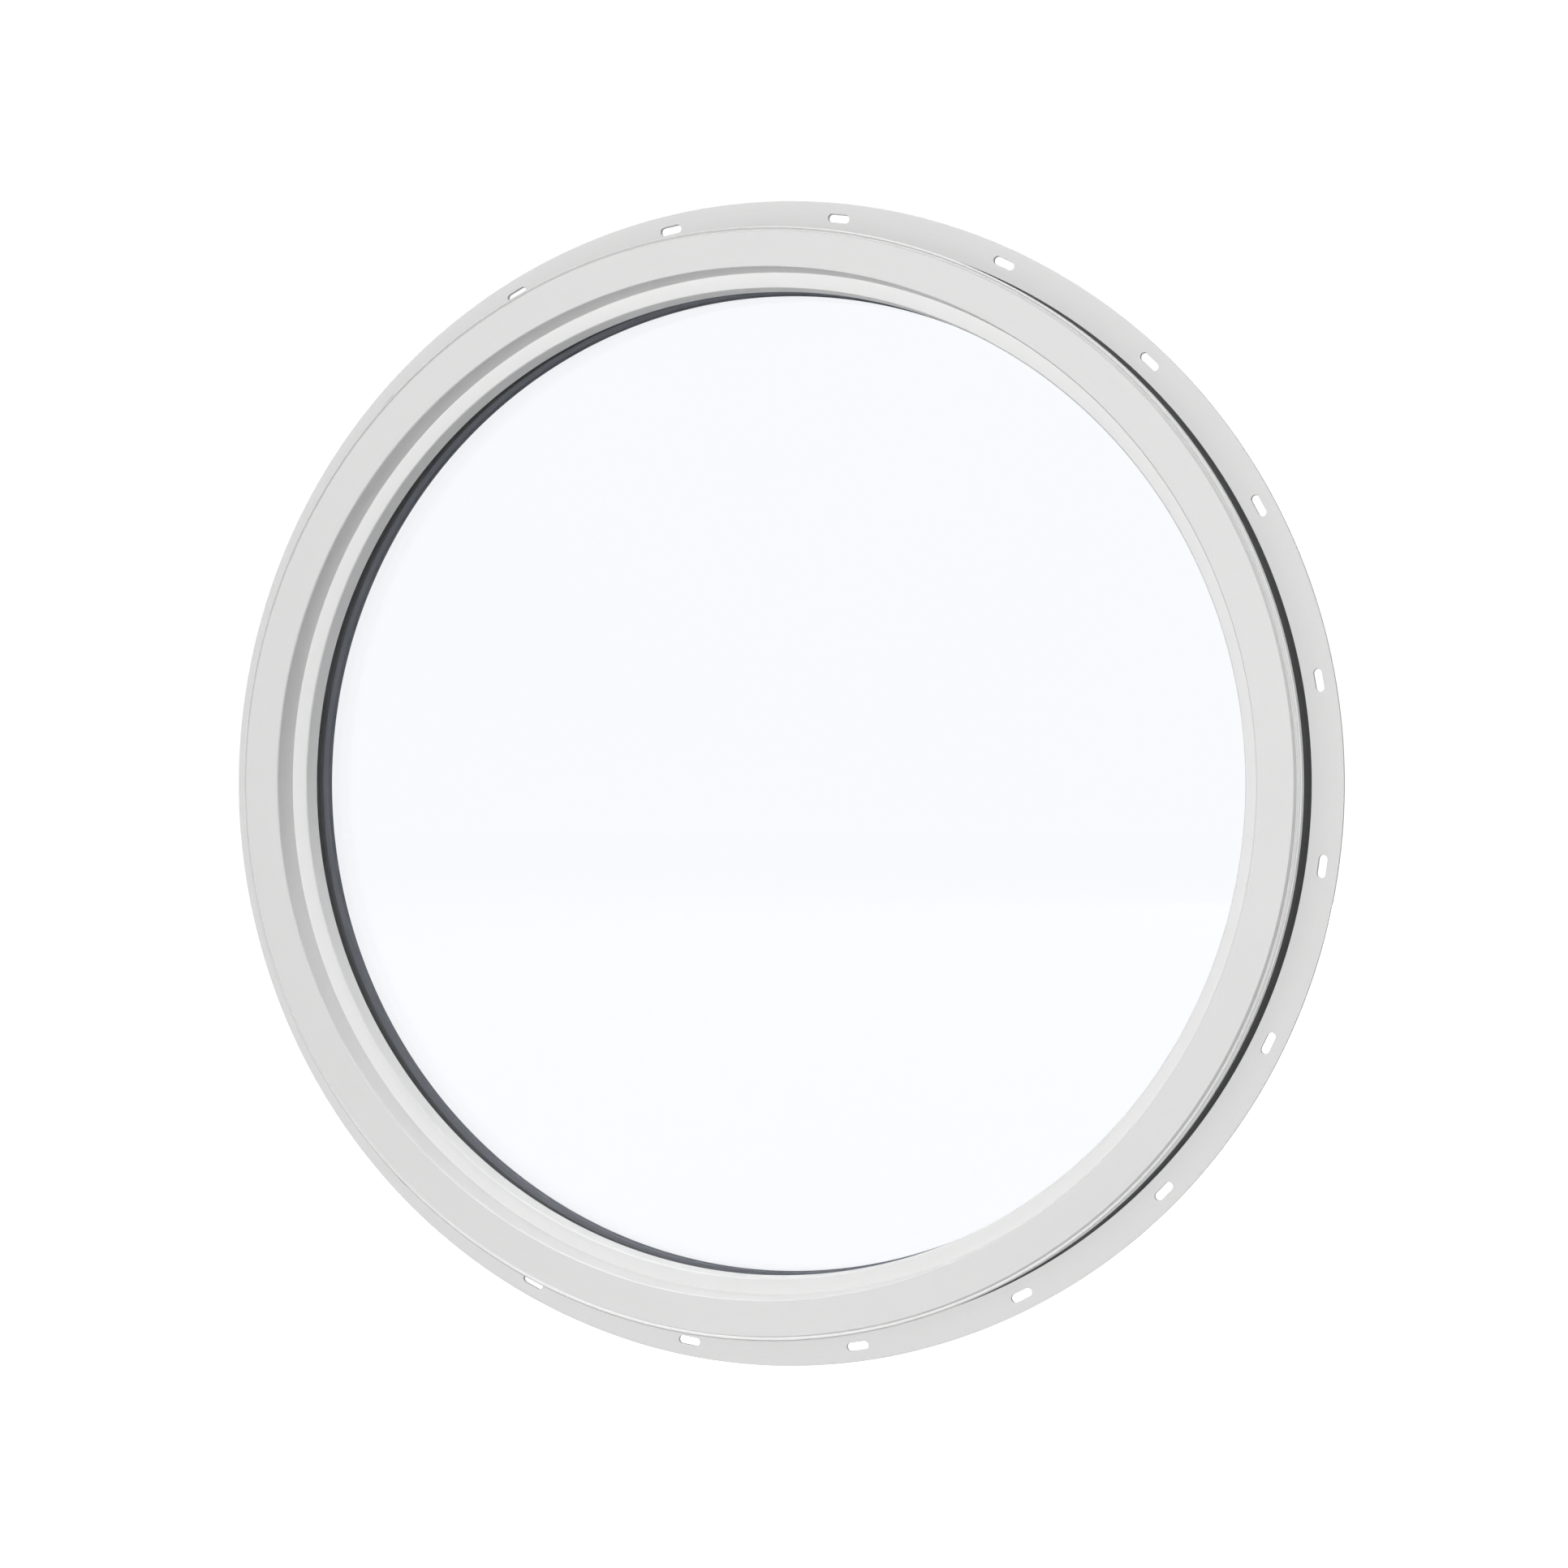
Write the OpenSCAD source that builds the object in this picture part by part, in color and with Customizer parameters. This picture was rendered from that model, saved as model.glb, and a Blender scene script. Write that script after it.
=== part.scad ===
// Round fixed window: a bent hollow vinyl frame with a nail fin, double glazed.
// The window's axis is Y. The outdoor face looks towards -Y, and +Z is up.
// The origin is on the axis, in the plane of the nail fin's back face.
// Every ring is a section in [radius, depth], turned about the axis.

/* [Frame] */
// Outside diameter of the frame's nose
frame_d = 610; // [450:1:1200]
// Whole depth of the frame, outdoor face to room side
frame_depth = 82.6; // [68:0.1:120]
// How far the front face stands out ahead of the nail fin
face_stand = 31.8; // [30:0.1:40]
// Width of the front face with its edge moulding
face_w = 22.8; // [19:0.1:60]
// Step from the front face down to the glazing stop's face
stop_step = 18.5; // [15:0.1:19]
// Width of the glazing stop's face
stop_w = 9.3; // [7.5:0.1:11.5]
// Thickness of the glazing stop, from its face to the glazing gasket
stop_t = 13.3; // [10:0.1:16]
// Wall thickness of the hollow frame profile
wall_t = 2.3; // [1.8:0.1:2.8]
// How much smaller in radius the frame is behind the nail fin
tail_inset = 2; // [1:0.1:4]

/* [Nose moulding] */
// Width of the moulded edge outside the flat of the front face
moulding_w = 3; // [2:0.1:5]
// How far the outer rim lies behind the front face
rim_drop = 2.1; // [1.5:0.1:4]
// Depth of the V notch behind the front face
notch_drop = 4; // [2.6:0.1:5]
// Width of the rim's sloping outer edge
rim_edge = 0.8; // [0.4:0.1:1.1]
// Width of the trim groove round the outside of the nose
trim_groove_w = 3.4; // [2:0.1:5]
// Depth of the trim groove
trim_groove_depth = 1.1; // [0.6:0.1:1.3]
// Chamfer on the profile's inner edges
edge_chamfer = 0.6; // [0.3:0.1:1.2]

/* [Nail fin] */
// How far the nail fin stands out beyond the frame's nose
fin_w = 18; // [16:0.1:40]
// Thickness of the nail fin
fin_t = 3; // [2:0.1:4]
// Depth of the kerf that takes the fin's tongue
kerf_depth = 6; // [4:0.1:6.5]
// How far the tongue's back lies ahead of the fin's back face
tongue_relief = 0.3; // [0.2:0.1:0.6]
// Chamfer on the tail's front edge, clear of the fin's back face
tail_chamfer = 0.8; // [0.5:0.1:1.2]
// Number of nail slots round the fin
slot_count = 20; // [8:1:40]
// Length of a nail slot, end to end
slot_l = 12.4; // [8:0.1:20]
// Width of a nail slot
slot_w = 4.5; // [3:0.1:7]
// Distance from the fin's outer edge to the middle of the slots
slot_inset = 8.5; // [6:0.1:10]
// Angle of the first slot, clockwise from the top
slot_phase = 8; // [0:0.5:18]

/* [Fin gasket] */
// Depth of the black sealing strip ahead of the fin
strip_l = 17.7; // [10:0.1:20]
// Thickness of the sealing strip at its front end
strip_t = 3; // [2:0.1:4]
// How much thicker the strip is where it meets the fin
strip_flare = 1; // [0:0.1:2]

/* [Glass unit] */
// Thickness of each pane
pane_t = 3; // [2.5:0.1:4]
// Space between the panes
cavity = 12; // [8:0.1:14]
// How far the glass reaches outwards past the stop's edge
edge_cover = 12.2; // [10:0.1:15]
// Room left round the glass for the blocks
edge_gap = 4; // [3:0.1:5]
// Distance from the stop's edge outwards to the spacer
spacer_inset = 2.6; // [1:0.1:4]
// Radial height of the spacer bar
spacer_h = 6.3; // [5:0.1:7]
// Wall of the hollow spacer bar
spacer_wall = 0.8; // [0.5:0.1:1.2]
// Thickness of each butyl seal beside the spacer
butyl_t = 0.4; // [0.3:0.1:0.8]
// Angle that the key covers where the spacer's ends meet
key_angle = 7; // [4:0.5:12]

/* [Glazing gaskets] */
// Thickness of the outdoor gasket between the stop and the glass
front_gasket_t = 1.3; // [1:0.1:3]
// Thickness of the room-side gasket between the glass and the bead
back_gasket_t = 3.8; // [2:0.1:5]
// Width of the gaskets over the glass
gasket_w = 8; // [6:0.1:10]

/* [Glazing bead] */
// How far the bead stops short of the frame's room side
bead_set = 3.3; // [1:0.1:5]
// Width of the bead's flat on the room side
bead_top_w = 2.1; // [1.8:0.1:4]
// How far the bead's edge on the glass lies outside the stop's edge
bead_edge_inset = 2; // [1.5:0.1:4]
// Wall thickness of the bead
bead_wall = 1.9; // [1.4:0.1:2.2]
// Thickness of the bead's base along the glass
bead_base_t = 2.4; // [1.6:0.1:3]
// Reach of the bead's snap foot into the frame
foot_reach = 3; // [2:0.1:3.5]
// Width of the snap foot
foot_w = 3.4; // [2.5:0.1:5]

/* [Blocks] */
// Length of a setting or location block along the glass edge
block_l = 50; // [30:1:80]
// Clock angles of the setting blocks that carry the glass
setting_angles = [150, 210]; // [0:1:359]
// Clock angles of the location blocks that centre it
location_angles = [0, 65, 295]; // [0:1:359]

/* [Hidden] */
$fn = 240;

// Clearance between curved faces that seat on each other
seat_gap = 0.1;
// Clearance at the front of the kerf and of the snap groove
kerf_gap = 0.15;
// How much a cutter runs past the faces that it cuts
cut_over = 1;
// Inward draft of the long visible walls
wall_draft = 0.5;

// Radii, from the outside in
nose_r = frame_d / 2;
fin_r = nose_r + fin_w;
slot_r = fin_r - slot_inset;
tail_r = nose_r - tail_inset;
strip_r = nose_r - strip_t;
face_edge_r = nose_r - moulding_w;
kerf_r = tail_r - kerf_depth;
face_in_r = nose_r - face_w;
stop_r = face_in_r - stop_w;
glass_r = stop_r + edge_cover;
pocket_r = glass_r + edge_gap;
spacer_r = stop_r + spacer_inset;
spacer_out_r = spacer_r + spacer_h;

// Depths along the axis: zero at the fin's back face, negative outdoors
face_y = -fin_t - face_stand;
back_y = face_y + frame_depth;
stop_face_y = face_y + stop_step;
stop_back_y = stop_face_y + stop_t;
strip_y = -fin_t - strip_l;
outer_pane_y = stop_back_y + front_gasket_t;
cavity_y = outer_pane_y + pane_t;
inner_pane_y = cavity_y + cavity;
glass_back_y = inner_pane_y + pane_t;
bead_y = glass_back_y + back_gasket_t;
bead_top_y = back_y - bead_set;
foot_y = (bead_y + bead_top_y) / 2 + foot_w;

// Edges of the trim groove round the nose, with its sloping sides
groove_side = 0.7;
groove_y = face_y + 2 * rim_drop;
groove_end_y = groove_y + trim_groove_w + groove_side;

// The outdoor gasket reaches further, to cover the groove for its foot
gasket_land = 1;
front_gasket_r = stop_r + gasket_w + 2 * gasket_land;
gasket_foot_w = 3;
gasket_foot_depth = 2.6;
gasket_foot_r = front_gasket_r - gasket_land - gasket_foot_w;

// Turns a section drawn in [radius, depth] about the window's axis
module ring(start = 0, sweep = 360) {
    rotate([-90, 0, 0])
        rotate([0, 0, start - 90])
            rotate_extrude(angle = sweep)
                children();
}

// A stretch of ring centred on a clock angle
module ring_block(clock, sweep) {
    ring(clock - sweep / 2, sweep)
        children();
}

// A rectangle between two radii and two depths
module span(r0, r1, y0, y1) {
    translate([r0, y0])
        square([r1 - r0, y1 - y0]);
}

// Outline of the frame profile, without its chambers
module frame_outline() {
    notch_r = face_edge_r + 0.38 * moulding_w;
    polygon([
        // front face, with a chamfer down to the inner wall
        [face_in_r, face_y + edge_chamfer],
        [face_in_r + edge_chamfer, face_y],
        // moulded edge: the notch, the rim's crest and its sloping outer edge
        [face_edge_r, face_y],
        [notch_r, face_y + notch_drop],
        [nose_r - rim_edge, face_y + rim_drop],
        [nose_r, face_y + rim_drop + rim_edge],
        // outside of the nose, with the trim groove
        [nose_r, groove_y],
        [nose_r - trim_groove_depth, groove_y + groove_side],
        [nose_r - trim_groove_depth, groove_end_y - groove_side / 2],
        [nose_r, groove_end_y],
        [nose_r, strip_y],
        // seat of the sealing strip, then the kerf of the nail fin
        [strip_r, strip_y],
        [strip_r, -fin_t - kerf_gap],
        [kerf_r, -fin_t - kerf_gap],
        [kerf_r, -tongue_relief],
        // tail in the wall, and the room side
        [tail_r - tail_chamfer, -tongue_relief],
        [tail_r, tail_chamfer - tongue_relief],
        [tail_r, back_y - edge_chamfer],
        [tail_r - edge_chamfer, back_y],
        [pocket_r + edge_chamfer, back_y],
        [pocket_r, back_y - edge_chamfer],
        // glazing pocket, and the back of the stop
        [pocket_r, stop_back_y],
        [stop_r - wall_draft / 2, stop_back_y],
        // inner wall, the stop's face and the deep wall
        [stop_r, stop_face_y + edge_chamfer],
        [stop_r + edge_chamfer, stop_face_y],
        [face_in_r - wall_draft, stop_face_y]
    ]);
}

// Hollow chambers that run all the way round inside the frame, one wall apart
module frame_chambers() {
    pocket_wall_r = pocket_r + wall_t;
    groove_wall_r = nose_r - trim_groove_depth - wall_t;
    kerf_wall_r = kerf_r - wall_t;
    kerf_front_y = -fin_t - kerf_gap;
    kerf_mid_y = (kerf_front_y - tongue_relief) / 2;
    tail_mid_y = foot_y / 2;
    // behind the front face, reaching down behind the inner wall
    polygon([
        [face_in_r + wall_t, face_y + wall_t],
        [face_edge_r - wall_t, face_y + wall_t],
        [groove_wall_r, face_y + wall_t + rim_drop],
        [groove_wall_r, strip_y - wall_t],
        [pocket_r, strip_y - wall_t],
        [pocket_r, stop_face_y],
        [face_in_r + wall_t, stop_face_y]
    ]);
    // inside the glazing stop
    span(
        stop_r + wall_t, pocket_r,
        stop_face_y + wall_t, stop_back_y - gasket_foot_depth - wall_t
    );
    // beside the stop, under the sealing strip and down to the kerf's web
    difference() {
        span(pocket_wall_r, strip_r - wall_t, strip_y, kerf_mid_y - wall_t / 2);
        span(kerf_wall_r, strip_r, kerf_front_y - wall_t, 0);
    }
    // behind the kerf
    difference() {
        span(
            pocket_wall_r, tail_r - wall_t,
            kerf_mid_y + wall_t / 2, tail_mid_y - wall_t / 2
        );
        span(kerf_wall_r, tail_r, kerf_mid_y, wall_t - tongue_relief);
    }
    // the tail, then the chamber beside the bead's snap groove
    span(
        pocket_wall_r, tail_r - wall_t,
        tail_mid_y + wall_t / 2, foot_y - 2 * wall_t
    );
    span(
        pocket_r + foot_reach + wall_t, tail_r - wall_t,
        foot_y - wall_t, back_y - wall_t
    );
}

module frame() {
    color("white")
        ring()
            difference() {
                frame_outline();
                frame_chambers();
                // groove for the outdoor gasket's foot
                span(
                    gasket_foot_r, gasket_foot_r + gasket_foot_w,
                    stop_back_y - gasket_foot_depth, stop_back_y + cut_over
                );
                // groove for the bead's snap foot
                span(
                    pocket_r - cut_over, pocket_r + foot_reach,
                    foot_y - kerf_gap, foot_y + foot_w
                );
            }
}

// One nail slot's cutter at the top of the fin, long way round the ring
module slot_cutter() {
    end_x = (slot_l - slot_w) / 2;
    rotate([90, 0, 0])
        linear_extrude(fin_t + 2 * cut_over)
            union() {
                square([2 * end_x, slot_w], center = true);
                for (side = [-1, 1])
                    translate([side * end_x, 0])
                        circle(d = slot_w, $fn = 32);
            }
}

module nail_fin() {
    barb = 0.6;
    tongue_r = kerf_r + barb;
    color("white")
        difference() {
            ring()
                polygon([
                    [tongue_r, -tongue_relief],
                    [tongue_r, -fin_t + barb],
                    [tongue_r + barb, -fin_t],
                    [fin_r - barb / 2, -fin_t],
                    [fin_r, -fin_t + barb / 2],
                    [fin_r, -barb / 2],
                    [fin_r - barb / 2, 0],
                    [tail_r + seat_gap, 0],
                    [tail_r + seat_gap, -tongue_relief]
                ]);
            for (i = [0 : slot_count - 1])
                rotate([0, slot_phase + i * 360 / slot_count, 0])
                    translate([0, cut_over, slot_r])
                        slot_cutter();
        }
}

module fin_gasket() {
    lip = 0.8;
    color("black")
        ring()
            polygon([
                [strip_r + seat_gap, strip_y + seat_gap],
                [nose_r - lip, strip_y + seat_gap],
                [nose_r, strip_y + lip],
                [nose_r + seat_gap, (strip_y - fin_t) / 2],
                [nose_r + strip_flare, -fin_t - 2 * lip],
                [nose_r + strip_flare, -fin_t],
                [strip_r + seat_gap, -fin_t]
            ]);
}

module outer_glazing_gasket() {
    lip = 0.5;
    inner_r = stop_r + lip;
    color("black")
        ring() {
            polygon([
                [inner_r, stop_back_y],
                [front_gasket_r, stop_back_y],
                [front_gasket_r, outer_pane_y],
                [inner_r + lip, outer_pane_y]
            ]);
            span(
                gasket_foot_r + seat_gap, gasket_foot_r + gasket_foot_w - seat_gap,
                stop_back_y - gasket_foot_depth + seat_gap, stop_back_y + lip
            );
        }
}

// A round sheet of glass whose outdoor face lies at the given depth
module pane(front_y) {
    arris = 0.4;
    color("lightblue", 0.3)
        ring()
            polygon([
                [0, front_y],
                [glass_r - arris, front_y],
                [glass_r, front_y + arris],
                [glass_r, front_y + pane_t - arris],
                [glass_r - arris, front_y + pane_t],
                [0, front_y + pane_t]
            ]);
}

module outer_pane() {
    pane(outer_pane_y);
}

module inner_pane() {
    pane(inner_pane_y);
}

// A butyl seal between a pane and the side of the spacer
module butyl_seal(y) {
    butyl_set = 0.6;
    color("black")
        ring()
            span(spacer_r + butyl_set, spacer_out_r - butyl_set, y, y + butyl_t);
}

module outer_butyl_seal() {
    butyl_seal(cavity_y);
}

module inner_butyl_seal() {
    butyl_seal(inner_pane_y - butyl_t);
}

// Section inside the hollow spacer, less a gap all round
module spacer_hollow(gap = 0) {
    inset = spacer_wall + gap;
    span(
        spacer_r + inset, spacer_out_r - inset,
        cavity_y + butyl_t + inset, inner_pane_y - butyl_t - inset
    );
}

module spacer_bar() {
    color("dimgray")
        ring()
            difference() {
                span(spacer_r, spacer_out_r, cavity_y + butyl_t, inner_pane_y - butyl_t);
                spacer_hollow();
            }
}

// The drying beads fill the spacer everywhere but at its key
module desiccant() {
    color("tan")
        ring_block(180, 360 - key_angle)
            spacer_hollow(seat_gap);
}

module spacer_key() {
    end_gap = 0.1;
    color("gray")
        ring_block(0, key_angle - 2 * end_gap)
            spacer_hollow(seat_gap);
}

module edge_seal() {
    color("black")
        ring()
            span(spacer_out_r + seat_gap, glass_r, cavity_y, inner_pane_y);
}

module inner_glazing_gasket() {
    lip = 0.7;
    color("dimgray")
        ring()
            polygon([
                [stop_r + lip, glass_back_y],
                [stop_r + gasket_w, glass_back_y],
                [stop_r + gasket_w, bead_y],
                [stop_r, bead_y],
                [stop_r, glass_back_y + 2 * lip]
            ]);
}

module glazing_bead() {
    edge_r = stop_r + bead_edge_inset;
    back_r = pocket_r - seat_gap;
    top_r = back_r - bead_top_w;
    foot_r = pocket_r + foot_reach - 2 * seat_gap;
    bevel_y = bead_y + bead_base_t;
    // the hollow keeps one wall from the bevel and from the bead's back
    bevel_slope = (top_r - edge_r) / (bead_top_y - bevel_y);
    hollow_r = edge_r + bead_wall * sqrt(1 + bevel_slope * bevel_slope);
    hollow_back_r = back_r - bead_wall;
    color("white")
        ring()
            difference() {
                polygon([
                    [edge_r, bead_y],
                    [back_r, bead_y],
                    [back_r, foot_y],
                    [foot_r, foot_y],
                    [foot_r, foot_y + foot_w / 2],
                    [back_r, foot_y + foot_w - kerf_gap],
                    [back_r, bead_top_y],
                    [top_r, bead_top_y],
                    [edge_r, bevel_y]
                ]);
                polygon([
                    [hollow_r, bevel_y],
                    [hollow_back_r, bevel_y],
                    [hollow_back_r, bevel_y + (hollow_back_r - hollow_r) / bevel_slope]
                ]);
            }
}

// Blocks between the glass edge and the pocket, at the given clock angles
module edge_blocks(angles) {
    sweep = block_l / glass_r * 180 / PI;
    for (clock = angles)
        ring_block(clock, sweep)
            span(
                glass_r + seat_gap, pocket_r - seat_gap,
                outer_pane_y + seat_gap, glass_back_y
            );
}

module setting_blocks() {
    color("black")
        edge_blocks(setting_angles);
}

module location_blocks() {
    color("gray")
        edge_blocks(location_angles);
}

frame();
nail_fin();
fin_gasket();
outer_glazing_gasket();
outer_pane();
outer_butyl_seal();
spacer_bar();
desiccant();
spacer_key();
inner_butyl_seal();
edge_seal();
inner_pane();
inner_glazing_gasket();
glazing_bead();
setting_blocks();
location_blocks();
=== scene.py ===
"""A round fixed window of bent white vinyl, with its nail fin and its sealed double glazing.

The window stands as it hangs in a wall: its axis is Y, outdoors is towards -Y, and +Z is up.
Every ring is a section of [radius, depth] corners turned about that axis, in metres.
"""
import math

import bpy
import bmesh
from mathutils import Matrix, Vector


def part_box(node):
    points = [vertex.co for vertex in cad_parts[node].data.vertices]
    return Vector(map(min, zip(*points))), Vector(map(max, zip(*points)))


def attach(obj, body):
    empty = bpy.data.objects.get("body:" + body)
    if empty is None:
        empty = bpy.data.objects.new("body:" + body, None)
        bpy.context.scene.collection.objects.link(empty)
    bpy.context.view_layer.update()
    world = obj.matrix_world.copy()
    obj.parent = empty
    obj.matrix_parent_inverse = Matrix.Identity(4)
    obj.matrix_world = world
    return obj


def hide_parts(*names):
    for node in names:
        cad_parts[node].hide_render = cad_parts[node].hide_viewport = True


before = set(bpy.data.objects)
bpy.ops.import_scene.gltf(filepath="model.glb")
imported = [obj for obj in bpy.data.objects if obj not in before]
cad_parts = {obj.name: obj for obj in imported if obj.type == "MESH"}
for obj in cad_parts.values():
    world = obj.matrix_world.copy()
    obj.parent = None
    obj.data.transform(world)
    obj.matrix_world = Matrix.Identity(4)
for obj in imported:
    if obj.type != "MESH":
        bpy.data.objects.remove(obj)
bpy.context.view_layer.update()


# ---------------------------------------------------------------------------------------------
# Frame. One hollow length of rigid white vinyl is extruded, softened, bent into a ring and
# welded at its ends. Its nose has a moulded edge and a shallow groove for outdoor trim round
# the outside, and inside it steps down to the glazing stop.
# ---------------------------------------------------------------------------------------------
frame_low, frame_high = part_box("frame")
nose_r = frame_high.x
face_y = frame_low.y
back_y = frame_high.y

fin_low, fin_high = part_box("nail_fin")
fin_r = fin_high.x
fin_front_y = fin_low.y
fin_back_y = fin_high.y

face_w = 0.0228
moulding_w = 0.003
rim_drop = 0.0021
notch_drop = 0.004
notch_place = 0.38
rim_edge = 0.0008
groove_w = 0.0034
groove_depth = 0.0011
groove_side = 0.0007
strip_t = 0.003
stop_step = 0.0185
stop_w = 0.0093
stop_t = 0.0133
face_chamfer = 0.0006
wall_draft = 0.0005
tail_inset = 0.002
kerf_depth = 0.006
tongue_relief = 0.0003
tail_chamfer = 0.0008
glass_edge_cover = 0.0122
glass_edge_gap = 0.004

face_in_r = nose_r - face_w
stop_r = face_in_r - stop_w
tail_r = nose_r - tail_inset
pocket_r = stop_r + glass_edge_cover + glass_edge_gap
stop_face_y = face_y + stop_step
stop_back_y = stop_face_y + stop_t


def fillet(before, corner, after, radius, steps=3):
    """Points of an arc that rounds one corner of a section."""
    back = Vector(before) - Vector(corner)
    ahead = Vector(after) - Vector(corner)
    half_angle = back.angle(ahead) / 2
    reach = min(radius / math.tan(half_angle), 0.45 * back.length, 0.45 * ahead.length)
    if radius <= 0 or half_angle > math.radians(88):
        return [Vector(corner)]
    arc_r = reach * math.tan(half_angle)
    middle = (back.normalized() + ahead.normalized()).normalized()
    centre = Vector(corner) + middle * (arc_r / math.sin(half_angle))
    start = Vector(corner) + back.normalized() * reach - centre
    end = Vector(corner) + ahead.normalized() * reach - centre
    sweep = start.angle_signed(end)
    return [centre + Matrix.Rotation(-sweep * i / steps, 2) @ start for i in range(steps + 1)]


def rounded(corners):
    """A closed section from (radius, depth, corner rounding) corners."""
    outline = []
    for i, (r, y, rounding) in enumerate(corners):
        before = corners[i - 1][:2]
        after = corners[(i + 1) % len(corners)][:2]
        outline += fillet(before, (r, y), after, rounding)
    return outline


def turned_ring(name, outline, clock=0.0, sweep=360.0, steps=480):
    """A mesh piece: the section swept round the window's axis, clockwise from a clock angle."""
    closed = sweep >= 360
    count = steps if closed else max(2, round(steps * sweep / 360))
    mesh = bpy.data.meshes.new(name)
    built = bmesh.new()
    rows = []
    for i in range(count if closed else count + 1):
        angle = math.radians(clock + sweep * i / count)
        spots = [(p.x * math.sin(angle), p.y, p.x * math.cos(angle)) for p in outline]
        rows.append([built.verts.new(spot) for spot in spots])
    for i in range(count):
        here, there = rows[i], rows[(i + 1) % len(rows)]
        for j in range(len(outline)):
            k = (j + 1) % len(outline)
            built.faces.new((here[j], here[k], there[k], there[j]))
    if not closed:
        built.faces.new(rows[0])
        built.faces.new(list(reversed(rows[-1])))
    bmesh.ops.recalc_face_normals(built, faces=built.faces)
    built.to_mesh(mesh)
    built.free()
    return finished_piece(name, mesh)


def finished_piece(name, mesh, sharp_angle=38):
    """An object for the mesh, smooth along its curves and crisp at its edges, riding on the window."""
    mesh.shade_smooth()
    mesh.set_sharp_from_angle(angle=math.radians(sharp_angle))
    piece = bpy.data.objects.new(name, mesh)
    bpy.context.scene.collection.objects.link(piece)
    weighting = piece.modifiers.new("flat faces keep their normals", "WEIGHTED_NORMAL")
    weighting.keep_sharp = True
    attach(piece, "root")
    return piece


def new_material(name):
    """A material with a Principled shader: the material, its nodes, its links and the shader."""
    material = bpy.data.materials.new(name)
    material.use_nodes = True
    nodes = material.node_tree.nodes
    nodes.clear()
    shader = nodes.new("ShaderNodeBsdfPrincipled")
    output = nodes.new("ShaderNodeOutputMaterial")
    material.node_tree.links.new(shader.outputs["BSDF"], output.inputs["Surface"])
    return material, nodes, material.node_tree.links, shader


def new_group(name, inputs, outputs):
    """A shader node group with float inputs (name: default) and outputs (name: socket type)."""
    tree = bpy.data.node_groups.new(name, "ShaderNodeTree")
    for label, default in inputs.items():
        socket = tree.interface.new_socket(label, in_out="INPUT", socket_type="NodeSocketFloat")
        socket.default_value = default
    for label, kind in outputs.items():
        tree.interface.new_socket(label, in_out="OUTPUT", socket_type=kind)
    inside = tree.nodes.new("NodeGroupInput")
    outside = tree.nodes.new("NodeGroupOutput")
    return tree, tree.nodes, tree.links, inside, outside


def placed_group(nodes, tree, **values):
    """The group in a material, with its inputs set; an underscore in a name stands for a space."""
    node = nodes.new("ShaderNodeGroup")
    node.node_tree = tree
    for label, value in values.items():
        node.inputs[label.replace("_", " ")].default_value = value
    return node


def math_node(nodes, links, operation, first, second=None):
    """A Math node whose inputs are sockets or plain numbers."""
    node = nodes.new("ShaderNodeMath")
    node.operation = operation
    for socket, value in zip(node.inputs, (first, second)):
        if value is None:
            continue
        if isinstance(value, (int, float)):
            socket.default_value = value
        else:
            links.new(value, socket)
    return node.outputs[0]


def draw_lines_group():
    """Fine lines that an extrusion die leaves along a profile, so round the ring once it is bent."""
    tree, nodes, links, inside, outside = new_group(
        "die lines",
        {"Lines per mm": 2.0, "Wander": 0.15},
        {"Height": "NodeSocketFloat", "Sheen change": "NodeSocketFloat"},
    )
    place = nodes.new("ShaderNodeTexCoord")
    split = nodes.new("ShaderNodeSeparateXYZ")
    links.new(place.outputs["Object"], split.inputs[0])
    x_squared = math_node(nodes, links, "MULTIPLY", split.outputs["X"], split.outputs["X"])
    z_squared = math_node(nodes, links, "MULTIPLY", split.outputs["Z"], split.outputs["Z"])
    radius = math_node(nodes, links, "SQRT", math_node(nodes, links, "ADD", x_squared, z_squared))
    across = nodes.new("ShaderNodeCombineXYZ")
    links.new(radius, across.inputs["X"])
    links.new(split.outputs["Y"], across.inputs["Y"])
    per_metre = math_node(nodes, links, "MULTIPLY", inside.outputs["Lines per mm"], 1000.0)
    slow = nodes.new("ShaderNodeTexNoise")
    slow.inputs["Scale"].default_value = 9.0
    links.new(place.outputs["Object"], slow.inputs["Vector"])
    drift = math_node(nodes, links, "MULTIPLY", slow.outputs["Fac"], inside.outputs["Wander"])
    drift = math_node(nodes, links, "MULTIPLY", drift, 0.001)
    links.new(drift, across.inputs["Z"])
    lines = nodes.new("ShaderNodeTexNoise")
    lines.inputs["Detail"].default_value = 3.0
    links.new(across.outputs[0], lines.inputs["Vector"])
    links.new(per_metre, lines.inputs["Scale"])
    links.new(lines.outputs["Fac"], outside.inputs["Height"])
    links.new(math_node(nodes, links, "SUBTRACT", lines.outputs["Fac"], 0.5), outside.inputs["Sheen change"])
    return tree


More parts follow.
